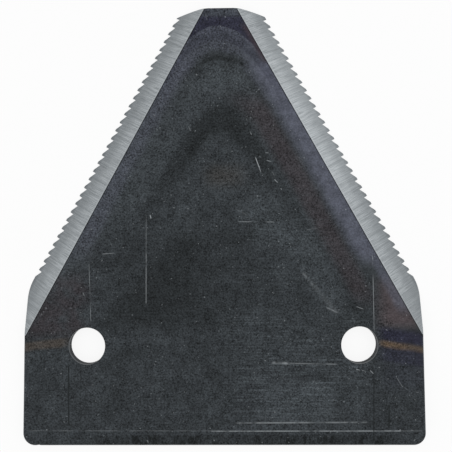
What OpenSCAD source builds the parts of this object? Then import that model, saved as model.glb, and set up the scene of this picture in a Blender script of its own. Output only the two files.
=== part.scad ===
// One knife section of a sickle bar mower: a hardened steel plate with two
// rivet holes, a bevel ground on the upper face along each cutting edge, and
// serration grooves on the underside that turn each edge into a row of teeth.
// The origin lies midway between the rivet holes, on the underside.
// +Y points to the tip and +Z up, towards the ground face. Millimetres.

/* [Plate] */
// Width of the plate across its straight sides
section_w = 76; // [60:0.5:110]
// Length of the plate from the rear edge to the tip
section_l = 84.3; // [75:0.1:110]
// Thickness of the steel
section_t = 2; // [1.6:0.1:3.2]
// Radius of the two rear corners
rear_corner_r = 2.3; // [0.5:0.1:5]
// Width of the chamfer that stands for the rolled rim of the sheared edges
rim_break = 0.25; // [0.1:0.05:0.4]

/* [Rivet holes] */
// Distance between the centres of the holes
hole_spacing = 52; // [40:0.1:54]
// Diameter of the holes
hole_d = 7; // [5:0.1:8]
// Distance from the rear edge to the row of holes
hole_setback = 18.55; // [12:0.05:24]

/* [Cutting edges] */
// Distance from the rear edge to the shoulders, where the cutting edges start
shoulder_y = 29.5; // [26:0.1:38]
// Radius that rounds each shoulder
shoulder_r = 8; // [1:0.1:10]
// Width across the front ends of the two cutting edges
tip_w = 17.6; // [12:0.1:24]
// Distance by which those ends lie behind the tip
tip_drop = 1.1; // [0.8:0.05:2]
// Radius of the rounded tip on each side of its flat
tip_r = 33; // [20:0.5:50]
// Width of the ground bevel, from the cutting edge to the upper face
bevel_w = 4.45; // [3:0.05:8]
// Thickness that the grinding leaves at the cutting edge
edge_t = 0.1; // [0.08:0.01:0.3]

/* [Serration] */
// Teeth on each cutting edge
tooth_count = 32; // [20:1:32]
// Distance from tooth to tooth, measured along the edge
tooth_pitch = 1.835; // [1.2:0.005:1.84]
// Distance along the right edge from its shoulder to the first tooth
first_tooth_right = 1.9; // [1.5:0.1:3]
// Distance along the left edge from its shoulder to the first tooth
first_tooth_left = 2.4; // [1.5:0.1:3]
// Depth of the grooves at the cutting edge
groove_depth = 0.5; // [0.3:0.01:0.6]
// Length of the grooves on the underside, along the stroke
groove_l = 5.7; // [4:0.1:12]
// Share of a tooth's pitch that its rearward flank takes
flank_share = 0.33; // [0.2:0.01:0.6]
// Height of the tooth points over the plane that the grooves start from
tooth_land = 0.02; // [0.01:0.01:0.05]

/* [Hidden] */
$fn = 96;

// Overrun of every cut past the surface that it opens
cut_over = 1;

// Places along Y, from the row of holes
rear_edge = -hole_setback;
tip_edge = section_l - hole_setback;
shoulder = shoulder_y - hole_setback;
side = section_w / 2;

// Each cutting edge runs straight from its shoulder to its front end
edge_front = [tip_w / 2, tip_edge - tip_drop];
edge_heel = [side, shoulder];
edge_run = edge_front - edge_heel;
edge_l = norm(edge_run);
edge_angle = atan2(edge_run[1], -edge_run[0]);
bevel_slope = (section_t - edge_t) / bevel_w;

// The tip is an arc through the front ends of both edges, cut by a flat
tip_arc_y = edge_front[1] - sqrt(tip_r * tip_r - edge_front[0] * edge_front[0]);

// The grooves run along X, so that they follow the stroke of the knife
groove_tilt = atan(groove_depth / groove_l);
tooth_step = tooth_pitch * sin(edge_angle);

// X of the right cutting edge at a place y
function edge_x(y) = edge_front[0] + (edge_front[1] - y) / tan(edge_angle);

// Point on the sawtooth that the grooves cut: y, and the height above the
// underside at the cutting edge, as seen along a groove
function comb_point(y, height) = [
    y,
    height * cos(groove_tilt) - edge_x(y) * sin(groove_tilt)
];

// Outline of the sheared plate before its corners are rounded
module plate_outline() {
    far_x = edge_x(tip_edge);
    intersection() {
        polygon([
            [-side, rear_edge], [side, rear_edge], edge_heel, [far_x, tip_edge],
            [-far_x, tip_edge], [-edge_heel[0], edge_heel[1]]
        ]);
        union() {
            translate([0, tip_arc_y]) circle(r = tip_r);
            translate([-side - cut_over, rear_edge - cut_over])
                square([section_w + 2 * cut_over, tip_arc_y - rear_edge + cut_over]);
        }
    }
}

// What rounding with radius r takes off the corner whose point is corner;
// turn_in and turn_out are the directions of its two sides, seen from the point
module corner_waste(corner, turn_in, turn_out, r) {
    half = (turn_out - turn_in) / 2;
    mid = (turn_out + turn_in) / 2;
    reach = r / sin(half);
    centre = corner + reach * [cos(mid), sin(mid)];
    tangent_l = r / tan(half);
    start = corner + tangent_l * [cos(turn_in), sin(turn_in)];
    end = corner + tangent_l * [cos(turn_out), sin(turn_out)];
    outside = corner - cut_over * [cos(mid), sin(mid)];
    difference() {
        polygon([centre, start, outside, end]);
        translate(centre) circle(r = r);
    }
}

// The rear corner and the shoulder of the right half
module right_corner_waste() {
    corner_waste([side, rear_edge], 90, 180, rear_corner_r);
    corner_waste(edge_heel, 180 - edge_angle, 270, shoulder_r);
}

// The sheared plate with its corners rounded
module blank() {
    linear_extrude(section_t) difference() {
        plate_outline();
        right_corner_waste();
        mirror([1, 0]) right_corner_waste();
    }
}

// Profile of the chamfer on an edge: x runs out of the steel, y is the height
module rim_profile(edge_at) {
    polygon([
        [edge_at - rim_break, section_t],
        [edge_at - rim_break, section_t + cut_over],
        [edge_at + cut_over, section_t + cut_over],
        [edge_at + cut_over, section_t - rim_break - cut_over]
    ]);
}

// The chamfer along the right side, the right rear corner and the rear edge
module right_rim() {
    side_l = section_l - rear_corner_r;
    corner_y = rear_edge + rear_corner_r;
    rear_run = side - rear_corner_r;
    translate([0, corner_y + side_l, 0]) rotate([90, 0, 0])
        linear_extrude(side_l) rim_profile(side);
    translate([rear_run, corner_y, 0]) rotate([0, 0, -90])
        rotate_extrude(angle = 90) rim_profile(rear_corner_r);
    rotate([90, 0, -90]) linear_extrude(rear_run) rim_profile(-rear_edge);
    translate([rear_run, 0, 0])
        rotate([90, 0, -90]) linear_extrude(rear_run) rim_profile(-rear_edge);
}

// The chamfer on the flat of the tip
module tip_rim() {
    translate([-side, 0, 0])
        rotate([90, 0, 90]) linear_extrude(section_w) rim_profile(tip_edge);
}

// A rivet hole and the chamfer on its upper rim
module rivet_hole() {
    translate([0, 0, -cut_over])
        cylinder(d = hole_d, h = section_t + 2 * cut_over);
    translate([0, 0, section_t - rim_break]) cylinder(
        d1 = hole_d, d2 = hole_d + 2 * (rim_break + cut_over),
        h = rim_break + cut_over);
}

// What grinding takes off the right half: everything above the bevel's plane
module right_grind() {
    reach = section_w + edge_l + tip_w;
    translate([edge_heel[0], edge_heel[1], 0]) rotate([0, 0, 180 - edge_angle])
        translate([-section_w, 0, 0]) rotate([90, 0, 90]) linear_extrude(reach)
            polygon([
                [-cut_over, edge_t - cut_over * bevel_slope],
                [bevel_w + cut_over, section_t + cut_over * bevel_slope],
                [-cut_over, section_t + cut_over * bevel_slope]
            ]);
}

// The grooves under the right cutting edge, cut as one sawtooth prism; first is
// the distance along the edge from the shoulder to the first tooth
module right_grooves(first) {
    low = shoulder + first * sin(edge_angle);
    high = low + tooth_count * tooth_step;
    teeth = [for (i = [1:tooth_count]) let (y = low + i * tooth_step) each [
        comb_point(y - flank_share * tooth_step, groove_depth),
        comb_point(y, -tooth_land)
    ]];
    under = [0, cut_over];
    comb = concat(
        [comb_point(high, 0) - under, comb_point(low, 0) - under],
        [comb_point(low, -tooth_land)],
        teeth
    );
    rotate([0, -groove_tilt, 0]) rotate([90, 0, 90])
        linear_extrude(section_w) polygon(comb);
}

module sickle_section() {
    color([0.2, 0.21, 0.22]) difference() {
        blank();
        for (k = [0, 1]) mirror([k, 0, 0]) {
            right_rim();
            right_grind();
            right_grooves(k == 0 ? first_tooth_right : first_tooth_left);
            translate([hole_spacing / 2, 0, 0]) rivet_hole();
        }
        tip_rim();
    }
}

sickle_section();
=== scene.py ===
"""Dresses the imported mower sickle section: blank, ground edges, teeth, finishes, studio and camera."""

import logging
import math
from dataclasses import dataclass, field
from enum import Enum
from typing import Any, Iterable

import bmesh
import bpy
from mathutils import Matrix, Vector


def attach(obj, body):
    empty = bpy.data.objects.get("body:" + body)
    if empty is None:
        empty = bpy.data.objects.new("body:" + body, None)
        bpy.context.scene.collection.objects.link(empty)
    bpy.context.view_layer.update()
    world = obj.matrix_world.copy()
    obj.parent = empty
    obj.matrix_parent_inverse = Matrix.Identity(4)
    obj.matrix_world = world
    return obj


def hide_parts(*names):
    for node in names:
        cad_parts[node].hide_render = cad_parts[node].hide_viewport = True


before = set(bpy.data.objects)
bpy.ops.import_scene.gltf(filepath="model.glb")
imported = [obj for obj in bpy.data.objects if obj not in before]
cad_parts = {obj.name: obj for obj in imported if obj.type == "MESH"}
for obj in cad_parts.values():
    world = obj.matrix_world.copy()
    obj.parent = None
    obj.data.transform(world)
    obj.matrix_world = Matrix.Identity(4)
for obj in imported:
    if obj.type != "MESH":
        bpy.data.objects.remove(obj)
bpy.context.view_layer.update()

LOG = logging.getLogger("sickle_section")
Point = tuple[float, float]
Colour = tuple[float, float, float, float]

# A millimetre in metres
MM = 0.001
# Sockets of a Mix node that mixes colours
MIX_FACTOR, MIX_UNDER, MIX_OVER, MIX_RESULT = 0, 6, 7, 2


def screen(red: int, green: int, blue: int) -> Colour:
    """Turn a screen colour into the linear colour that a socket takes.

    Args:
        red: Red, 0 to 255.
        green: Green, 0 to 255.
        blue: Blue, 0 to 255.

    Returns:
        The linear colour, with full alpha.
    """
    parts = [c / 255 for c in (red, green, blue)]
    linear = [p / 12.92 if p <= 0.04045 else ((p + 0.055) / 1.055) ** 2.4 for p in parts]
    return (linear[0], linear[1], linear[2], 1.0)


class Side(Enum):
    """The two cutting edges, by the sign of X."""

    RIGHT = 1
    LEFT = -1


class Wire:
    """A node's output, on which arithmetic adds Math nodes."""

    def __init__(self, board: "Board", socket: bpy.types.NodeSocket) -> None:
        """Keep the board and the output socket."""
        self.board = board
        self.socket = socket

    def _math(self, operation: str, *values: Any) -> "Wire":
        """Add one Math node."""
        return self.board.node("ShaderNodeMath", {"operation": operation}, dict(enumerate(values)))

    def __add__(self, other: Any) -> "Wire":
        """Sum."""
        return self._math("ADD", self, other)

    def __radd__(self, other: Any) -> "Wire":
        """Sum, from the right."""
        return self._math("ADD", other, self)

    def __sub__(self, other: Any) -> "Wire":
        """Difference."""
        return self._math("SUBTRACT", self, other)

    def __rsub__(self, other: Any) -> "Wire":
        """Difference, from the right."""
        return self._math("SUBTRACT", other, self)

    def __mul__(self, other: Any) -> "Wire":
        """Product."""
        return self._math("MULTIPLY", self, other)

    def __rmul__(self, other: Any) -> "Wire":
        """Product, from the right."""
        return self._math("MULTIPLY", other, self)

    def __abs__(self) -> "Wire":
        """Size without its sign."""
        return self._math("ABSOLUTE", self)

    def __lt__(self, other: Any) -> "Wire":
        """1 where this is the smaller."""
        return self._math("LESS_THAN", self, other)

    def __gt__(self, other: Any) -> "Wire":
        """1 where this is the larger."""
        return self._math("GREATER_THAN", self, other)

    def call(self, operation: str, *values: Any) -> "Wire":
        """Apply another Math operation, such as FLOOR or MAXIMUM."""
        return self._math(operation, self, *values)

    def rise(self, low: float, high: float) -> "Wire":
        """Go smoothly from 0 at low to 1 at high; low may be the larger.

        Args:
            low: Where the result is 0.
            high: Where the result is 1.

        Returns:
            The smooth step.
        """
        return self.board.node("ShaderNodeMapRange", {"interpolation_type": "SMOOTHSTEP"}, {
            "Value": self, "From Min": low, "From Max": high, "To Min": 0.0, "To Max": 1.0})

    def band(self, low: float, high: float, soft: float) -> "Wire":
        """Be 1 between low and high, and fade to 0 over soft outside them.

        Args:
            low: Lower end.
            high: Upper end.
            soft: Width of each fade.

        Returns:
            The band's mask.
        """
        return self.rise(low - soft, low) * self.rise(high + soft, high)


class Board:
    """A node tree, with the one method that adds nodes, and short names for three common ones."""

    def __init__(self, tree: bpy.types.NodeTree) -> None:
        """Keep the tree."""
        self.tree = tree

    @classmethod
    def cleared(cls, owner: bpy.types.ID) -> "Board":
        """Empty the node tree of a material or a world, and wrap it."""
        owner.use_nodes = True
        owner.node_tree.nodes.clear()
        return cls(owner.node_tree)

    def node(self, kind: str, settings: dict[str, Any], inputs: dict[Any, Any], output: Any = 0) -> Wire:
        """Add a node.

        Args:
            kind: The node's type.
            settings: The node's own properties, set before its sockets.
            inputs: Values or wires by socket name or number; a list of wires goes into a joining socket.
            output: Name or number of the output that the result wraps.

        Returns:
            The chosen output.
        """
        made = self.tree.nodes.new(kind)
        for key, value in settings.items():
            setattr(made, key, value)
        for key, value in inputs.items():
            for one in value if isinstance(value, list) else [value]:
                if isinstance(one, Wire):
                    self.tree.links.new(one.socket, made.inputs[key])
                else:
                    made.inputs[key].default_value = one
        return Wire(self, made.outputs[output] if len(made.outputs) else None)

    def part(self, vector: Wire, which: int) -> Wire:
        """One component of a vector, by its number."""
        return self.node("ShaderNodeSeparateXYZ", {}, {0: vector}, which)

    def point(self, x: Any, y: Any, z: Any = 0.0) -> Wire:
        """Join three numbers into a vector."""
        return self.node("ShaderNodeCombineXYZ", {}, {"X": x, "Y": y, "Z": z})

    def scale(self, vector: Wire, by: Any) -> Wire:
        """Multiply a vector or a colour by a number."""
        return self.node("ShaderNodeVectorMath", {"operation": "SCALE"}, {0: vector, "Scale": by})


@dataclass(frozen=True)
class PlateSizes:
    """Sizes of the section in millimetres, as in the part's source."""

    width: float = 76.0
    rear: float = -18.55
    tip: float = 65.75
    thick: float = 2.0
    rear_corner: float = 2.3
    rim: float = 0.25
    hole_gap: float = 52.0
    hole: float = 7.0
    shoulder: float = 10.95
    shoulder_round: float = 8.0
    tip_half: float = 8.8
    tip_drop: float = 1.1
    tip_round: float = 33.0
    bevel: float = 4.45
    edge_thick: float = 0.1
    teeth: int = 32
    pitch: float = 1.835
    first: dict[Side, float] = field(default_factory=lambda: {Side.RIGHT: 1.9, Side.LEFT: 2.4})
    groove: float = 0.5
    groove_run: float = 5.7
    flank: float = 0.33
    land: float = 0.02

    @property
    def side(self) -> float:
        """Half of the width."""
        return self.width / 2

    @property
    def front(self) -> Point:
        """Front end of the right cutting edge."""
        return (self.tip_half, self.tip - self.tip_drop)

    @property
    def edge_angle(self) -> float:
        """Angle between a cutting edge and the rear edge, in radians."""
        return math.atan2(self.front[1] - self.shoulder, self.side - self.front[0])

    @property
    def edge_length(self) -> float:
        """Length of a cutting edge."""
        return math.hypot(self.front[1] - self.shoulder, self.side - self.front[0])

    @property
    def bevel_angle(self) -> float:
        """Angle of the ground face to the flat, in radians."""
        return math.atan2(self.thick - self.edge_thick, self.bevel)

    @property
    def step(self) -> float:
        """Distance from tooth to tooth along Y."""
        return self.pitch * math.sin(self.edge_angle)


def arc(centre: Point, radius: float, start: float, end: float, pieces: int) -> list[Point]:
    """Points along an arc.

    Args:
        centre: The arc's centre.
        radius: Its radius.
        start: First angle in degrees.
        end: Last angle in degrees.
        pieces: Number of straight pieces.

    Returns:
        The points, both ends included.
    """
    turns = [math.radians(start + (end - start) * i / pieces) for i in range(pieces + 1)]
    return [(centre[0] + radius * math.cos(t), centre[1] + radius * math.sin(t)) for t in turns]


@dataclass
class ShearedBlank:
    """The flat plate as it leaves the press: outline, rivet holes and rolled rims.

    The pieces are the straight parts of each arc. The nick is wear in the rear edge.
    """

    sizes: PlateSizes
    rim_pieces: int = 4
    corner_pieces: int = 14
    bend_pieces: int = 12
    hole_pieces: int = 64
    nick_pieces: int = 6
    nick_at: float = -35.0
    nick_deep: float = 0.08
    nick_wide: float = 1.0

    def half_outline(self) -> list[Point]:
        """The outline's right half, from the rear edge's middle to the tip's.

        Returns:
            Its points, counter-clockwise.
        """
        s = self.sizes
        lean = math.degrees(s.edge_angle)
        turn = math.radians((90 + lean) / 2)
        shoulder_y = s.shoulder - s.shoulder_round / math.tan(turn)
        shoulder_centre = (s.side - s.shoulder_round, shoulder_y)
        shoulder = arc(shoulder_centre, s.shoulder_round, 0, 90 - lean, self.bend_pieces)
        tip_y = s.front[1] - math.sqrt(s.tip_round ** 2 - s.front[0] ** 2)
        flat_turn = math.degrees(math.asin((s.tip - tip_y) / s.tip_round))
        front_turn = math.degrees(math.acos(s.front[0] / s.tip_round))
        tip = arc((0.0, tip_y), s.tip_round, front_turn, flat_turn, self.bend_pieces)
        rear_centre = (s.side - s.rear_corner, s.rear + s.rear_corner)
        rear = arc(rear_centre, s.rear_corner, -90, 0, self.corner_pieces)
        return rear + shoulder + tip

    def outline(self) -> list[Point]:
        """The whole outline, with the nick beside the left rear corner.

        Returns:
            Its points, counter-clockwise.
        """
        right = self.half_outline()
        left = [(-x, y) for x, y in reversed(right)]
        reach = range(self.nick_pieces + 1)
        places = [self.nick_at + self.nick_wide * (i / self.nick_pieces - 0.5) for i in reach]
        depths = [self.nick_deep * math.sin(math.pi * i / self.nick_pieces) ** 2 for i in reach]
        return right + left + [(x, self.sizes.rear + d) for x, d in zip(places, depths)]

    @staticmethod
    def inset(loop: list[Point], depth: float) -> list[Point]:
        """Move a loop's points to its left, which is inwards when it is counter-clockwise.

        Args:
            loop: The closed loop.
            depth: Distance to move each side.

        Returns:
            The moved loop, with as many points.
        """
        moved = []
        for before, here, after in zip(loop[-1:] + loop[:-1], loop, loop[1:] + loop[:1]):
            into = Vector((here[0] - before[0], here[1] - before[1])).normalized()
            out = Vector((after[0] - here[0], after[1] - here[1])).normalized()
            normals = Vector((-into.y, into.x)) + Vector((-out.y, out.x))
            shift = normals * (2 * depth / normals.length_squared)
            moved.append((here[0] + shift.x, here[1] + shift.y))
        return moved

    def levels(self) -> list[tuple[float, float]]:
        """Place the rings of the wall, from the underside up and over the rolled rim.

        Returns:
            Inset and height of each ring.
        """
        s = self.sizes
        turns = [math.pi / 2 * i / self.rim_pieces for i in range(self.rim_pieces + 1)]
        rolled = [(s.rim * (1 - math.cos(t)), s.thick - s.rim * (1 - math.sin(t))) for t in turns]
        return [(0.0, 0.0)] + rolled

    def build(self) -> bpy.types.Object:
        """Build the blank in millimetres.

        Returns:
            The blank's object, a closed mesh.
        """
        s = self.sizes
        centres = ((-s.hole_gap / 2, 0.0), (s.hole_gap / 2, 0.0))
        holes = [arc(centre, s.hole / 2, 0, -360, self.hole_pieces)[:-1] for centre in centres]
        mesh = bmesh.new()
        ends: dict[int, list[bmesh.types.BMEdge]] = {0: [], -1: []}
        for loop in [self.outline()] + holes:
            rings = [[mesh.verts.new((x, y, z)) for x, y in self.inset(loop, depth)]
                     for depth, z in self.levels()]
            for low, high in zip(rings, rings[1:]):
                for i in range(len(loop)):
                    j = (i + 1) % len(loop)
                    mesh.faces.new((low[i], low[j], high[j], high[i]))
            for which, edges in ends.items():
                ring = rings[which]
                edges += [mesh.edges.get((a, b)) for a, b in zip(ring, ring[1:] + ring[:1])]
        for edges in ends.values():
            bmesh.ops.triangle_fill(mesh, use_beauty=True, use_dissolve=False, edges=edges)
        bmesh.ops.recalc_face_normals(mesh, faces=mesh.faces)
        data = bpy.data.meshes.new("ground_section")
        mesh.to_mesh(data)
        mesh.free()
        made = bpy.data.objects.new("ground_section", data)
        bpy.context.scene.collection.objects.link(made)
        LOG.info("sheared blank: %d faces", len(data.polygons))
        return made


@dataclass
class EdgeWork:
    """The grinding of both edges and the teeth under them, as one Geometry Nodes tree.

    Lengths are in millimetres. The sharp bend is an angle in radians. The slack and the leans are
    compared with the Z of a face's normal, and tell the bevels, the walls and the grooves apart.
    """

    sizes: PlateSizes
    spare: float = 3.0
    wheel_wide: float = 30.0
    wheel_tall: float = 8.0
    comb_weld: float = 0.0005
    weld: float = 0.002
    sharp_bend: float = 0.42
    bevel_slack: float = 0.004
    wall_lean: float = 0.35
    flat_lean: float = 0.99999

    def inputs(self) -> dict[str, float]:
        """Work out the sizes that the tree takes.

        Returns:
            The sizes by the names of its inputs.
        """
        s = self.sizes
        lows = {side: s.shoulder + s.first[side] * math.sin(s.edge_angle) for side in Side}
        return {
            "Tooth Step": s.step,
            "First Tooth Right": lows[Side.RIGHT],
            "First Tooth Left": lows[Side.LEFT],
            "Groove Depth": s.groove,
            "Groove Slope": s.groove / s.groove_run,
            "Flank Share": s.flank,
            "Tooth Land": s.land,
            "Bevel Angle": s.bevel_angle,
            "Edge Thickness": s.edge_thick,
        }

    def comb(self, board: Board, given: dict[str, Wire], side: Side) -> Wire:
        """The solid whose upper face is the sawtooth that the grooves leave.

        Args:
            board: The tree.
            given: The tree's inputs by name.
            side: Which edge.

        Returns:
            The solid's mesh.
        """
        s = self.sizes
        reach = s.side + self.spare
        grid = board.node("GeometryNodeMeshGrid", {}, {
            "Size X": reach, "Size Y": 2.0 * s.teeth, "Vertices X": 2, "Vertices Y": 2 * s.teeth + 1})
        place = board.node("GeometryNodeInputPosition", {}, {})
        x, y = board.part(place, 0), board.part(place, 1)
        # Two rows of points for each tooth: its point, then the root before the next one.
        # The tenth keeps an even row from being rounded down.
        count = (y + float(s.teeth)).call("ROUND")
        tooth = (count * 0.5 + 0.1).call("FLOOR")
        root = count - tooth * 2
        low = given["First Tooth Right" if side is Side.RIGHT else "First Tooth Left"]
        share = 1 - given["Flank Share"]
        tooth_y = low + (tooth + root * share) * given["Tooth Step"]
        out = x + reach / 2
        edge_x = s.front[0] + (s.front[1] - tooth_y) * (1 / math.tan(s.edge_angle))
        rise = root * (given["Groove Depth"] + given["Tooth Land"]) - given["Tooth Land"]
        height = rise + (out - edge_x) * given["Groove Slope"]
        spot = board.point(out * float(side.value), tooth_y, height)
        sheet = board.node("GeometryNodeSetPosition", {}, {"Geometry": grid, "Position": spot})
        if side is Side.LEFT:
            sheet = board.node("GeometryNodeFlipFaces", {}, {"Mesh": sheet})
        down = board.point(0.0, 0.0, -1.0)
        deep = board.node("GeometryNodeExtrudeMesh", {"mode": "FACES"}, {
            "Mesh": sheet, "Offset": down, "Offset Scale": self.spare * 2, "Individual": False})
        turned = board.node("GeometryNodeFlipFaces", {}, {"Mesh": deep})
        shell = board.node("GeometryNodeJoinGeometry", {}, {0: [sheet, turned]})
        return board.node("GeometryNodeMergeByDistance", {}, {
            "Geometry": shell, "Distance": self.comb_weld})

    def grinder(self, board: Board, given: dict[str, Wire], side: Side) -> Wire:
        """The block whose lower face is the plane that grinding leaves.

        Args:
            board: The tree.
            given: The tree's inputs by name.
            side: Which edge.

        Returns:
            The block's mesh.
        """
        s = self.sizes
        size = (s.edge_length * 2, self.wheel_wide, self.wheel_tall)
        block = board.node("GeometryNodeMeshCube", {}, {"Size": size})
        lift = (0.0, 0.0, self.wheel_tall / 2)
        lifted = board.node("GeometryNodeTransform", {}, {"Geometry": block, "Translation": lift})
        sign = float(side.value)
        heading = math.pi - s.edge_angle if side is Side.RIGHT else s.edge_angle
        turn = board.point(given["Bevel Angle"] * sign, 0.0, heading)
        middle_x = sign * (s.side + s.front[0]) / 2
        middle = board.point(middle_x, (s.shoulder + s.front[1]) / 2, given["Edge Thickness"])
        return board.node("GeometryNodeTransform", {}, {
            "Geometry": lifted, "Translation": middle, "Rotation": turn})

    def tree(self, finishes: dict[str, bpy.types.Material]) -> tuple[bpy.types.NodeTree, dict[str, str]]:
        """Build the tree.

        Args:
            finishes: Materials by the face that they dress.

        Returns:
            The tree, and the identifier of each named input.
        """
        tree = bpy.data.node_groups.new("edge_work", "GeometryNodeTree")
        tree.interface.new_socket("Geometry", in_out="INPUT", socket_type="NodeSocketGeometry")
        tree.interface.new_socket("Geometry", in_out="OUTPUT", socket_type="NodeSocketGeometry")
        names = {}
        for name in self.inputs():
            socket = tree.interface.new_socket(name, in_out="INPUT", socket_type="NodeSocketFloat")
            names[name] = socket.identifier
        board = Board(tree)
        source = tree.nodes.new("NodeGroupInput")
        given = {name: Wire(board, source.outputs[name]) for name in self.inputs()}
        cutters = [make(board, given, side) for side in Side for make in (self.grinder, self.comb)]
        cut = Wire(board, source.outputs["Geometry"])
        for cutter in cutters:
            cut = board.node("GeometryNodeMeshBoolean", {"operation": "DIFFERENCE", "solver": "EXACT"}, {
                "Mesh 1": cut, "Mesh 2": cutter})
        cut = board.node("GeometryNodeMergeByDistance", {}, {"Geometry": cut, "Distance": self.weld})
        cut = self.smooth(board, cut)
        scaled = board.node("GeometryNodeTransform", {}, {"Geometry": cut, "Scale": (MM, MM, MM)})
        plain = board.node("GeometryNodeRealizeInstances", {}, {"Geometry": scaled})
        dressed = self.dress(board, plain, finishes)
        board.node("NodeGroupOutput", {}, {0: dressed})
        return tree, names

    def smooth(self, board: Board, mesh: Wire) -> Wire:
        """Shade the rolled rims smooth and keep every true corner sharp.

        Args:
            board: The tree.
            mesh: The worked shape.

        Returns:
            The same shape with its shading set.
        """
        bend = board.node("GeometryNodeInputMeshEdgeAngle", {}, {}, "Unsigned Angle")
        soft = board.node("GeometryNodeSetShadeSmooth", {"domain": "FACE"}, {
            0: mesh, "Shade Smooth": True})
        return board.node("GeometryNodeSetShadeSmooth", {"domain": "EDGE"}, {
            0: soft, "Selection": bend > self.sharp_bend, "Shade Smooth": False})

    def dress(self, board: Board, mesh: Wire, finishes: dict[str, bpy.types.Material]) -> Wire:
        """Give each face its finish by the way it points.

        Args:
            board: The tree.
            mesh: The finished shape.
            finishes: Materials by the face that they dress.

        Returns:
            The dressed shape.
        """
        normal = board.node("GeometryNodeInputNormal", {}, {})
        up = board.part(normal, 2)
        ground = abs(up - math.cos(self.sizes.bevel_angle)) < self.bevel_slack
        wall = abs(up) < self.wall_lean
        pressed = (up < -self.wall_lean) * (up > -self.flat_lean)
        for name, mask in (("flat", None), ("wall", wall), ("groove", pressed), ("ground", ground)):
            inputs = {"Geometry": mesh, "Material": finishes[name]}
            if mask is not None:
                inputs["Selection"] = mask
            mesh = board.node("GeometryNodeSetMaterial", {}, inputs)
        return mesh

    def apply(self, blank: bpy.types.Object, finishes: dict[str, bpy.types.Material]) -> bpy.types.Object:
        """Work the blank and keep the result as a plain mesh.

        Args:
            blank: The sheared blank.
            finishes: Materials by the face that they dress.

        Returns:
            The same object, with its finished mesh.
        """
        tree, names = self.tree(finishes)
        blank.data.materials.append(finishes["flat"])
        work = blank.modifiers.new("edge_work", "NODES")
        work.node_group = tree
        for name, value in self.inputs().items():
            work[names[name]] = value
        graph = bpy.context.evaluated_depsgraph_get()
        data = bpy.data.meshes.new_from_object(blank.evaluated_get(graph), depsgraph=graph)
        blank.modifiers.remove(work)
        old = blank.data
        blank.data = data
        bpy.data.meshes.remove(old)
        data.name = "ground_section"
        names_used = [material.name for material in data.materials]
        LOG.info("edge work: %d faces, materials %s", len(data.polygons), names_used)
        return blank


@dataclass(frozen=True)
class Scratch:
    """A straight scratch on the flat face, in millimetres."""

    start: Point
    end: Point
    wide: float
    strength: float


@dataclass(frozen=True)
class TemperTones:
    """Colours of the blackened face, as the heat left them, and of bare steel, which also paints the
    highlight on the rims.
    """

    charcoal: Colour = screen(47, 51, 54)
    light: Colour = screen(73, 79, 83)
    dark: Colour = screen(26, 29, 30)
    slate: Colour = screen(79, 82, 93)
    violet: Colour = screen(36, 36, 51)
    brown: Colour = screen(56, 46, 49)
    umber: Colour = screen(73, 64, 66)
    straw: Colour = screen(110, 88, 62)
    bare: Colour = screen(150, 155, 158)


@dataclass(frozen=True)
class GroundTones:
    """Colours of the bare ground steel; shade and tooth also paint shade on the bevels."""

    steel: Colour = screen(151, 156, 159)
    line: Colour = screen(179, 184, 187)
    shade: Colour = screen(104, 109, 112)
    tooth: Colour = screen(88, 93, 96)


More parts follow.
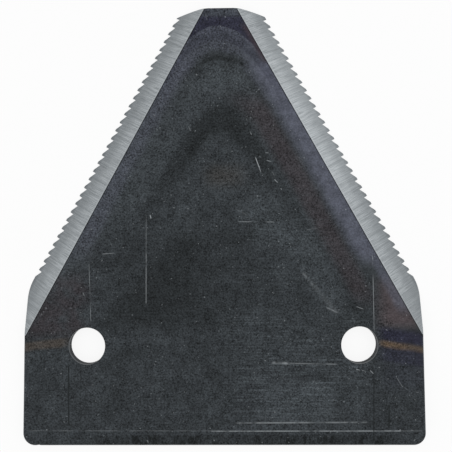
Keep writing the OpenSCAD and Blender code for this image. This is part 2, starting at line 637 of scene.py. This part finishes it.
LIGHT_SCRATCHES = (
    Scratch((-14.6, 24.5), (-14.6, 16.5), 0.09, 0.35),
    Scratch((-14.6, 17.3), (-14.6, 8.4), 0.11, 0.60),
    Scratch((-25.6, 15.3), (-25.2, 5.0), 0.09, 0.45),
    Scratch((-22.7, 17.6), (-21.1, 17.7), 0.10, 0.60),
    Scratch((-26.7, 10.1), (-26.5, 9.6), 0.12, 0.50),
    Scratch((28.7, 16.7), (28.7, 2.9), 0.11, 0.55),
    Scratch((25.7, 7.2), (26.5, 6.9), 0.13, 0.45),
    Scratch((16.7, 22.0), (18.4, 22.3), 0.12, 0.45),
    Scratch((15.6, 13.5), (21.6, 6.3), 0.80, 0.08),
    Scratch((15.6, 13.5), (17.1, 11.6), 0.35, 0.25),
    Scratch((20.1, 7.0), (21.6, 6.3), 0.30, 0.30),
    Scratch((6.7, 35.7), (7.5, 33.4), 0.12, 1.00),
    Scratch((3.5, 23.6), (9.7, 23.5), 0.09, 0.65),
    Scratch((2.9, 25.9), (4.8, 24.9), 0.16, 0.12),
    Scratch((-7.6, 52.6), (-3.7, 47.4), 0.08, 0.10),
    Scratch((-2.9, 64.3), (-2.7, 63.5), 0.14, 0.40),
    Scratch((1.8, 57.6), (6.3, 57.8), 0.08, 0.25),
    Scratch((-37.0, -15.8), (37.0, -15.9), 0.10, 0.30),
    Scratch((-2.0, -15.9), (33.0, -15.9), 0.14, 0.85),
    Scratch((2.6, -14.4), (26.6, -14.3), 0.24, 0.48),
    Scratch((9.7, -3.2), (12.2, -3.3), 0.36, 0.75),
    Scratch((12.0, -3.3), (21.2, -3.5), 0.20, 0.35),
    Scratch((32.9, -6.3), (33.7, -7.6), 0.09, 0.35),
    Scratch((33.7, -7.6), (35.0, -8.5), 0.09, 0.35),
    Scratch((36.3, -8.7), (36.7, -8.8), 0.14, 0.50),
    Scratch((8.9, 35.4), (9.5, 35.2), 0.13, 0.75),
    Scratch((9.8, 33.1), (10.1, 32.6), 0.14, 0.75),
    Scratch((10.3, 31.6), (10.7, 31.2), 0.14, 0.70),
    Scratch((8.6, 36.9), (9.0, 36.9), 0.13, 0.60),
    Scratch((5.6, 41.0), (5.8, 40.6), 0.15, 0.75),
    Scratch((-6.3, 42.1), (-6.0, 41.5), 0.15, 0.70),
    Scratch((25.3, -4.5), (25.7, -4.6), 0.15, 0.70),
    Scratch((26.4, -4.7), (26.8, -4.8), 0.14, 0.65),
    Scratch((27.9, -4.8), (28.3, -5.2), 0.14, 0.65),
    Scratch((-14.4, -17.6), (-14.2, -17.9), 0.18, 0.80),
    Scratch((-13.8, 24.9), (-13.7, 24.5), 0.18, 0.80),
    Scratch((11.8, 0.8), (12.4, 0.7), 0.13, 0.60),
)
DARK_SCRATCHES = (
    Scratch((-29.4, -3.9), (-29.3, -14.2), 0.26, 1.00),
    Scratch((-27.1, -4.4), (-27.0, -15.7), 0.16, 0.50),
    Scratch((28.5, -4.8), (28.2, -17.6), 0.20, 0.90),
    Scratch((31.2, -11.3), (31.1, -15.2), 0.24, 1.00),
)


class Finish:
    """Shared start of each finish: a material, its board and its coordinates in millimetres."""

    bump_strength: float = 0.35
    scratch_fade: float = 0.6

    def __init__(self, name: str, sizes: PlateSizes) -> None:
        """Make the material and read the piece's own coordinates.

        Inward is the distance from the nearer cutting edge, and along is the place on that edge.

        Args:
            name: The material's name.
            sizes: Sizes of the section.
        """
        self.sizes = sizes
        self.material = bpy.data.materials.new(name)
        self.board = Board.cleared(self.material)
        place = self.board.node("ShaderNodeTexCoord", {}, {}, "Object")
        self.place = self.board.scale(place, 1 / MM)
        self.x, self.y, self.z = (self.board.part(self.place, which) for which in range(3))
        out, fall = math.sin(sizes.edge_angle), math.cos(sizes.edge_angle)
        self.inward = (sizes.side - abs(self.x)) * out + (sizes.shoulder - self.y) * fall
        self.along = (sizes.side - abs(self.x)) * fall + (self.y - sizes.shoulder) * out

    def point(self, x: Any, y: Any, z: Any = 0.0) -> Wire:
        """Join three numbers into a place."""
        return self.board.point(x, y, z)

    def noise(self, place: Wire, scale: float, detail: float = 2.0, rough: float = 0.5) -> Wire:
        """Cloudy noise from 0 to 1.

        Args:
            place: Where it is read.
            scale: Cells for each millimetre.
            detail: Octaves.
            rough: Weight of the finer octaves.

        Returns:
            The noise.
        """
        return self.board.node("ShaderNodeTexNoise", {"noise_dimensions": "3D"}, {
            "Vector": place, "Scale": scale, "Detail": detail, "Roughness": rough})

    def blend(self, under: Any, over: Any, mask: Any) -> Wire:
        """Lay one colour over another where the mask is 1."""
        return self.board.node("ShaderNodeMix", {"data_type": "RGBA"}, {
            MIX_FACTOR: mask, MIX_UNDER: under, MIX_OVER: over}, MIX_RESULT)

    def scratch(self, mark: Scratch) -> Wire:
        """Mask of one scratch, fading at both of its ends.

        Args:
            mark: The scratch.

        Returns:
            Its mask, at its strength.
        """
        start, end = Vector(mark.start), Vector(mark.end)
        length = (end - start).length
        way = (end - start) / length
        fade = min(self.scratch_fade, length / 2)
        run = (self.x - start.x) * way.x + (self.y - start.y) * way.y
        off = abs((self.y - start.y) * way.x - (self.x - start.x) * way.y)
        return off.rise(mark.wide, 0.0) * run.band(0.0, length, fade) * mark.strength

    def marks(self, scratches: Iterable[Scratch]) -> Wire:
        """Mask of several scratches together.

        Args:
            scratches: The scratches.

        Returns:
            The largest of their masks.
        """
        masks = [self.scratch(mark) for mark in scratches]
        total = masks[0]
        for mask in masks[1:]:
            total = total.call("MAXIMUM", mask)
        return total

    def close(self, colour: Wire, rough: Any, metallic: float, height: Wire,
              deep: float) -> bpy.types.Material:
        """Join the surface.

        Args:
            colour: Base colour.
            rough: Roughness.
            metallic: Metallic.
            height: Height for the bump, 0 to 1.
            deep: Depth of the bump in metres.

        Returns:
            The finished material.
        """
        bump = self.board.node("ShaderNodeBump", {}, {
            "Height": height, "Strength": self.bump_strength, "Distance": deep})
        surface = self.board.node("ShaderNodeBsdfPrincipled", {}, {
            "Base Color": colour, "Roughness": rough, "Metallic": metallic, "Normal": bump})
        self.board.node("ShaderNodeOutputMaterial", {}, {"Surface": surface})
        return self.material


class TemperedFace(Finish):
    """The blackened flat faces, tinted by hardening and marked by handling."""

    def build(self, tones: TemperTones) -> bpy.types.Material:
        """Build the finish.

        Args:
            tones: Its colours.

        Returns:
            The material.
        """
        fleck = self.noise(self.place, scale=3.1, detail=2.0, rough=0.8)
        patch = self.noise(self.point(self.x, self.y, self.z + 7.0), scale=0.22, detail=3.0, rough=0.6)
        worn = self.noise(self.point(self.x + 9.0, self.y, self.z), scale=0.28, detail=3.0, rough=0.65)
        worn = worn.rise(0.3, 0.58)
        top = self.z.rise(self.sizes.thick * 0.5, self.sizes.thick * 0.6)
        scuff = self.marks(LIGHT_SCRATCHES) * top * worn
        colour = self.blend(tones.charcoal, tones.dark, patch.rise(0.5, 0.66) * 0.3)
        colour = self.blend(colour, tones.light, patch.rise(0.5, 0.34) * 0.12)
        colour = self.heat(colour, tones, patch, top)
        colour = self.rubbing(colour, tones, top)
        colour = self.grain(colour, tones, fleck, top)
        colour = self.blend(colour, tones.bare, scuff)
        colour = self.blend(colour, tones.dark, self.marks(DARK_SCRATCHES) * top * (0.5 + worn * 0.5))
        # Painted highlight on the rolled rims, and the dark line above each bevel
        colour = self.rims(colour, tones, worn, top)
        rough = 0.44 + fleck * 0.14 - scuff * 0.15
        return self.close(colour, rough, metallic=0.85, height=fleck + scuff * 0.6, deep=0.00002)

    def grain(self, colour: Wire, tones: TemperTones, fleck: Wire, top: Wire) -> Wire:
        """Give the face the fine grain of scale, calmer beside the right bevel, and bare specks.

        Args:
            colour: The face so far.
            tones: The finish's colours.
            fleck: Noise of the grain.
            top: 1 on the upper face.

        Returns:
            The grained colour.
        """
        mottle = self.noise(self.place, scale=0.7, detail=2.0, rough=0.6)
        beside = (self.inward - self.sizes.bevel).rise(5.0, 2.5)
        calm = 1 - self.x.rise(3.0, 6.0) * beside * top * 0.55
        shade = (fleck - 0.5) * 4.1 * calm + (mottle - 0.5) * 1.1 + 1.0
        colour = self.board.scale(colour, shade.call("MAXIMUM", 0.15))
        dust = self.noise(self.point(self.x + 31.0, self.y, self.z), scale=2.3, detail=1.0)
        return self.blend(colour, tones.bare, dust.rise(0.73, 0.80) * 0.45)

    def rims(self, colour: Wire, tones: TemperTones, worn: Wire, top: Wire) -> Wire:
        """Paint a highlight on the rolled rims of the sides and the rear, broken up by wear, and darken
        the line above each bevel.

        Args:
            colour: The face so far.
            tones: The finish's colours.
            worn: Noise of the wear.
            top: 1 on the upper face.

        Returns:
            The colour with its rims.
        """
        s = self.sizes
        sides = abs(self.x).rise(s.side - 0.3, s.side - 0.05)
        rear = self.y.rise(s.rear + 0.25, s.rear + 0.05)
        rim_highlight = sides.call("MAXIMUM", rear) * top
        # Painted highlight along the rolled rims, in bare steel, broken up by the wear noise
        colour = self.blend(colour, tones.bare, rim_highlight * (0.1 + worn * 0.25))
        line = self.inward.band(s.bevel - 0.1, s.bevel + 0.15, 0.1) * top
        return self.blend(colour, tones.dark, line * 0.7)

    def rubbing(self, colour: Wire, tones: TemperTones, top: Wire) -> Wire:
        """Lay on the fine lines of the rolled sheet, and a rubbed and a dark strip along the rear edge.

        Args:
            colour: The face so far.
            tones: The finish's colours.
            top: 1 on the upper face.

        Returns:
            The rubbed colour.
        """
        level = self.point(self.x * 0.09, self.y * 3.2)
        streak = self.noise(level, scale=1.0, detail=2.0, rough=0.6)
        upright = self.point(self.x * 0.9, self.y * 0.25, 3.0)
        knocks = self.noise(upright, scale=1.0, detail=3.0, rough=0.7)
        wide = self.x.band(4.0, 24.0, 5.0) * self.y.band(-12.0, 4.0, 4.0)
        most = self.x.band(9.0, 19.0, 4.0) * self.y.band(-13.0, -8.0, 2.0)
        upper = self.x.band(8.0, 19.0, 3.0) * self.y.band(12.0, 23.0, 2.0)
        rubbed = self.y.band(-15.7, -14.9, 0.3) * self.x.band(1.0, 26.0, 4.0)
        strip = self.y.band(-18.3, -16.8, 0.3) * self.x.band(-20.0, 28.0, 8.0)
        weight = wide * 0.38 + most * 0.25 + upper * 0.22 + 0.07
        colour = self.blend(colour, tones.light, (wide * 0.06 + most * 0.26) * top)
        colour = self.blend(colour, tones.light, streak.rise(0.5, 0.64) * weight * top)
        colour = self.blend(colour, tones.light, rubbed * top * knocks.rise(0.35, 0.6) * 0.25)
        return self.blend(colour, tones.dark, strip * top * (0.3 + knocks.rise(0.48, 0.6) * 0.7))

    def heat(self, colour: Wire, tones: TemperTones, patch: Wire, top: Wire) -> Wire:
        """Lay the temper colours over the face, most of them in arches that follow the edges.

        Args:
            colour: The face so far.
            tones: The finish's colours.
            patch: Noise that sways the bands.
            top: 1 on the upper face.

        Returns:
            The tinted colour.
        """
        x, y = self.x, self.y
        sway = patch - 0.5
        ragged = self.noise(self.point(x, y, 5.0), scale=0.8, detail=3.0, rough=0.65) - 0.5
        # Lines of equal heat: a band between two values of one follows its curve
        arch = y + ((x * x + 36.0).call("SQRT") - 6.0) * 2.0 + sway * 2.0
        crown = y + x * x * 0.088 + sway * 2.4
        crest = y + (x + 0.6) * (x + 0.6) * 0.083 + ragged * 0.9
        wave = y + (x - 30.0) * 0.15 + sway * 0.5
        low = y - (x + 33.0) * 0.11 + sway * 0.6
        right = x.rise(-1.0, 3.0)
        left = 1 - right
        centre = x.band(-5.0, 7.0, 4.0)
        nose = y.rise(44.0, 54.0)
        far_right = x.rise(28.8, 31.0)
        beside = (self.inward - self.sizes.bevel).rise(1.5, 0.2)
        heart = 0.55 - x.rise(-11.0, 2.0) * 0.35 - x.rise(2.0, 12.0) * 0.15
        left_brown = x.band(-36.0, -28.0, 4.0) * y.band(3.5, 12.0, 3.0) * patch.rise(0.3, 0.6)
        layers = (
            # The dark heart of the plate and the patches round it
            (tones.dark, (arch + y * 0.8).rise(49.0, 41.0) * y.band(5.5, 20.0, 4.0) * heart),
            (tones.dark, x.band(-19.0, -8.0, 4.0) * y.band(7.0, 20.0, 4.0) * 0.2),
            (tones.light, x.band(7.0, 11.0, 2.0) * y.band(20.0, 27.0, 3.0) * 0.2),
            # The arches over it, from the inside out
            (tones.light, arch.band(29.0, 34.0, 3.0) * y.rise(20.0, 26.0) * 0.08),
            (tones.light, arch.band(36.0, 43.0, 4.0) * right * y.band(9.0, 20.0, 4.0) * 0.2),
            (tones.dark, arch.band(42.0, 45.0, 2.5) * y.rise(18.0, 26.0) * (0.2 + centre * 0.4)),
            (tones.light, arch.band(50.5, 53.0, 3.0) * y.rise(47.0, 51.0) * (0.4 - right * 0.15)),
            (tones.brown, arch.band(50.6, 53.4, 4.6) * right * y.band(11.0, 45.0, 5.0) * 0.4),
            (tones.straw, x.band(-0.5, 1.5, 4.5) * y.band(32.2, 32.8, 3.0) * 0.07),
            (tones.light, arch.band(49.0, 57.0, 3.0) * left * y.band(26.0, 48.0, 6.0) * 0.2),
            # Brown and dark patches above the holes
            (tones.umber, x.band(32.0, 37.0, 4.0) * y.band(5.0, 11.0, 3.0) * 0.75),
            (tones.dark, x.band(23.5, 26.5, 2.5) * y.band(5.0, 7.0, 2.0) * 0.45),
            (tones.brown, left_brown * 0.4),
            # Slate beside the bevels
            (tones.slate, crown.rise(56.4, 58.2) * nose * 0.40),
            (tones.slate, arch.rise(55.0, 60.5) * right * y.band(18.0, 52.5, 4.0) * 0.86),
            (tones.slate, arch.rise(60.5, 63.5) * right * y.band(8.0, 15.0, 3.0) * 0.6),
            (tones.light, arch.rise(55.5, 60.0) * left * y.band(15.0, 48.0, 6.0) * 0.22),
            (tones.slate, arch.rise(56.5, 61.0) * left * y.band(22.0, 52.0, 8.0) * 0.42),
            # The nose
            (tones.dark, crown.band(55.7, 55.9, 0.55) * y.rise(52.0, 55.6) * 0.65),
            (tones.violet, (crest + ragged).rise(58.8, 59.6) * nose * 0.3),
            (tones.slate, crest.band(61.6, 61.9, 0.3) * nose * 0.35),
            (tones.violet, crest.rise(62.0, 62.3) * nose * 0.8),
            (tones.brown, beside * right * y.band(55.5, 61.5, 1.5) * 0.65),
            (tones.light, y.rise(63.4, 64.6) * 0.5),
            # Straw and violet beside the holes
            (tones.violet, x.band(33.0, 37.0, 5.0) * y.band(-6.0, -3.0, 4.0) * 0.2),
            (tones.violet, wave.band(1.7, 2.6, 1.6) * far_right * 0.9),
            (tones.violet, wave.band(-2.4, -0.4, 1.0) * far_right * 0.55),
            (tones.straw, wave.band(0.3, 0.4, 0.95) * far_right * (0.5 - x.rise(31.0, 37.0) * 0.18)),
            (tones.straw, low.band(0.1, 0.8, 0.9) * x.rise(-28.0, -31.5) * 0.17),
        )
        for tone, mask in layers:
            colour = self.blend(colour, tone, mask * top)
        return colour


class GroundFace(Finish):
    """The bevels, with the wheel's fine lines running square to each cutting edge, under painted shade
    and a painted highlight.
    """

    def build(self, tones: GroundTones) -> bpy.types.Material:
        """Build the finish.

        Args:
            tones: Its colours.

        Returns:
            The material.
        """
        # The two edges read the noise at places 50 mm apart, so that their lines differ
        hand = (self.x > 0) * 50.0
        fine = self.point(self.along * 8.5 + hand, self.inward * 0.16)
        lines = self.noise(fine, scale=1.0, detail=3.0, rough=0.95)
        coarse = self.point(self.along * 0.9 + hand, self.inward * 0.12)
        broad = self.noise(coarse, scale=1.0, detail=2.0)
        bevel = self.sizes.bevel
        # Where the right bevel gets painted shade low down and a painted highlight at the front
        low_right_shade = self.x.rise(10.0, 14.0) * self.y.rise(34.0, 22.0)
        front_right_highlight = self.x.rise(8.0, 12.0) * self.y.rise(26.0, 38.0)
        layers = (
            (tones.line, lines.rise(0.5, 0.61) * 0.85),
            (tones.shade, lines.rise(0.5, 0.38) * 0.75),
            (tones.shade, broad.rise(0.5, 0.7) * 0.16),
            # Painted shade, darker towards the cutting edge
            (tones.shade, self.inward.rise(3.6, 1.2) * 0.5),
            # Painted shade over the teeth, darkest at the cutting edge
            (tones.tooth, self.inward.rise(1.0, 0.1) * 0.6),
            (tones.line, self.inward.rise(bevel - 0.35, bevel) * 0.45),
            # Painted shade towards the rear end of each bevel and low on the right bevel, a painted
            # highlight on the front of the right bevel, and painted shade over the whole left bevel
            (tones.shade, self.y.rise(13.0, 7.0) * 0.3),
            (tones.shade, low_right_shade * 0.16),
            (tones.line, front_right_highlight * 0.12),
            (tones.shade, self.x.rise(0.0, -1.0) * 0.09),
        )
        colour = tones.steel
        for tone, mask in layers:
            colour = self.blend(colour, tone, mask)
        return self.close(colour, 0.34 + lines * 0.12, metallic=0.7, height=lines, deep=0.000012)


class ShearedWall(Finish):
    """The sheared edges: a burnished band above, torn metal below."""

    def build(self, tones: TemperTones) -> bpy.types.Material:
        """Build the finish.

        Args:
            tones: Its colours.

        Returns:
            The material.
        """
        along = self.x + self.y
        drawn = self.point(along * 4.0, self.z * 0.5, self.x - self.y)
        drag = self.noise(drawn, scale=1.0, detail=3.0, rough=0.6)
        torn = self.noise(self.place, scale=4.0, detail=4.0, rough=0.7)
        # The burnished band starts above the middle of the wall
        split = (self.z + (drag - 0.5) * 0.6).rise(1.15, 1.35)
        colour = self.blend(tones.dark, tones.charcoal, torn)
        colour = self.blend(colour, tones.light, split * (0.3 + drag * 0.6))
        rough = 0.62 - split * 0.22
        height = torn * (1 - split) + drag * split * 0.5
        return self.close(colour, rough, metallic=0.6, height=height, deep=0.00005)


class PressedGroove(Finish):
    """The grooves under the edges, bright along the tool's stroke."""

    def build(self, tones: GroundTones) -> bpy.types.Material:
        """Build the finish.

        Args:
            tones: Its colours.

        Returns:
            The material.
        """
        pull = self.noise(self.point(self.x * 0.3, self.y * 6.0), scale=1.0, detail=3.0)
        colour = self.blend(tones.shade, tones.tooth, pull.rise(0.35, 0.65))
        colour = self.blend(colour, tones.line, pull.rise(0.62, 0.8) * 0.5)
        return self.close(colour, rough=0.38, metallic=0.75, height=pull, deep=0.00001)


@dataclass
class SickleSection:
    """The part: one plate, sheared, ground, serrated and heat treated."""

    sizes: PlateSizes

    def build(self) -> bpy.types.Object:
        """Build and dress the section.

        Returns:
            Its finished piece.
        """
        finishes = {
            "flat": TemperedFace("tempered_face", self.sizes).build(TemperTones()),
            "ground": GroundFace("ground_face", self.sizes).build(GroundTones()),
            "wall": ShearedWall("sheared_wall", self.sizes).build(TemperTones()),
            "groove": PressedGroove("pressed_groove", self.sizes).build(GroundTones()),
        }
        piece = EdgeWork(self.sizes).apply(ShearedBlank(self.sizes).build(), finishes)
        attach(piece, "root")
        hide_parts("sickle_section")
        return piece


@dataclass(frozen=True)
class SoftBox:
    """A square lamp aimed at the part: its place and sides in metres, its power in watts."""

    name: str
    place: tuple[float, float, float]
    size: float
    power: float


@dataclass
class Studio:
    """White table, even light and the photograph's camera.

    The eye is the camera's place in metres, and right, up and back are the directions of its axes.
    Paper is the table's grey, glow the share of plain white that the camera sees in it, and sky
    the strength of the light from all round.
    """

    lens: float = 39.03
    sensor: float = 36.0
    near: float = 0.005
    eye: tuple[float, float, float] = (0.00229, 0.01829, 0.09605)
    right: tuple[float, float, float] = (0.999843, -0.006981, -0.016312)
    up: tuple[float, float, float] = (0.007752, 0.998830, 0.047723)
    back: tuple[float, float, float] = (0.015960, -0.047842, 0.998727)
    table: float = 1.2
    table_low: float = 0.00003
    paper: float = 0.86
    glow: float = 0.86
    sky: float = 0.86
    aim: tuple[float, float, float] = (0.0, 0.025, 0.0)
    lamps: tuple[SoftBox, ...] = (
        SoftBox("key_softbox", (0.35, 0.30, 0.60), 0.8, 0.9),
        SoftBox("fill_softbox", (-0.45, -0.20, 0.60), 0.8, 0.5),
    )

    def build(self) -> None:
        """Set the whole stage."""
        self.floor()
        self.world()
        for box in self.lamps:
            self.lamp(box)
        self.camera()
        bpy.context.scene.view_settings.view_transform = "Standard"

    def floor(self) -> None:
        """A pale table that is white from above, apart from the shadow, and clear from below."""
        mesh = bpy.data.meshes.new("table_top")
        reach, low = self.table, -self.table_low
        corners = [(x * reach, y * reach, low) for x, y in ((-1, -1), (1, -1), (1, 1), (-1, 1))]
        mesh.from_pydata(corners, [], [(0, 1, 2, 3)])
        table = bpy.data.objects.new("table_top", mesh)
        bpy.context.scene.collection.objects.link(table)
        paper = bpy.data.materials.new("table_paper")
        board = Board.cleared(paper)
        grey = (self.paper, self.paper, self.paper, 1.0)
        matte = board.node("ShaderNodeBsdfDiffuse", {}, {"Color": grey})
        white = board.node("ShaderNodeEmission", {}, {"Color": (1.0, 1.0, 1.0, 1.0), "Strength": 1.0})
        mix = board.node("ShaderNodeMixShader", {}, {0: self.seen(board) * self.glow, 1: matte, 2: white})
        behind = board.node("ShaderNodeNewGeometry", {}, {}, "Backfacing")
        clear = board.node("ShaderNodeBsdfTransparent", {}, {})
        sided = board.node("ShaderNodeMixShader", {}, {0: behind, 1: mix, 2: clear})
        board.node("ShaderNodeOutputMaterial", {}, {"Surface": sided})
        mesh.materials.append(paper)

    @staticmethod
    def seen(board: Board) -> Wire:
        """Tell the rays that see the background from those that only light the part.

        Args:
            board: The tree that asks.

        Returns:
            1 for rays from the camera, and for reflected and passed ones.
        """
        kinds = [board.node("ShaderNodeLightPath", {}, {}, name)
                 for name in ("Is Camera Ray", "Is Glossy Ray", "Is Transmission Ray")]
        return kinds[0].call("MAXIMUM", kinds[1]).call("MAXIMUM", kinds[2])

    def world(self) -> None:
        """An even sky, which is plain white behind the part."""
        world = bpy.data.worlds.new("even_sky")
        bpy.context.scene.world = world
        board = Board.cleared(world)
        strength = self.seen(board) * (1.0 - self.sky) + self.sky
        sky = board.node("ShaderNodeBackground", {}, {
            "Color": (1.0, 1.0, 1.0, 1.0), "Strength": strength})
        board.node("ShaderNodeOutputWorld", {}, {"Surface": sky})

    def lamp(self, box: SoftBox) -> None:
        """Hang a soft box and aim it at the part.

        Args:
            box: Its name, place, size and power.
        """
        light = bpy.data.lights.new(box.name, "AREA")
        light.shape = "SQUARE"
        light.size = box.size
        light.energy = box.power
        lamp = bpy.data.objects.new(box.name, light)
        lamp.location = box.place
        aim = Vector(self.aim) - Vector(box.place)
        lamp.rotation_euler = aim.to_track_quat("-Z", "Y").to_euler()
        bpy.context.scene.collection.objects.link(lamp)

    def camera(self) -> None:
        """The photograph's camera, close above the flat face."""
        data = bpy.data.cameras.new("photo_camera")
        data.sensor_width = self.sensor
        data.lens = self.lens
        data.clip_start = self.near
        camera = bpy.data.objects.new("photo_camera", data)
        turn = Matrix((self.right, self.up, self.back)).transposed().to_4x4()
        camera.matrix_world = Matrix.Translation(Vector(self.eye)) @ turn
        bpy.context.scene.collection.objects.link(camera)
        bpy.context.scene.camera = camera


def main() -> None:
    """Build the part and its studio."""
    logging.basicConfig(level=logging.INFO, format="%(name)s: %(message)s")
    piece = SickleSection(PlateSizes()).build()
    LOG.info("%s: %d vertices", piece.name, len(piece.data.vertices))
    Studio().build()


if __name__ == "__main__":
    main()
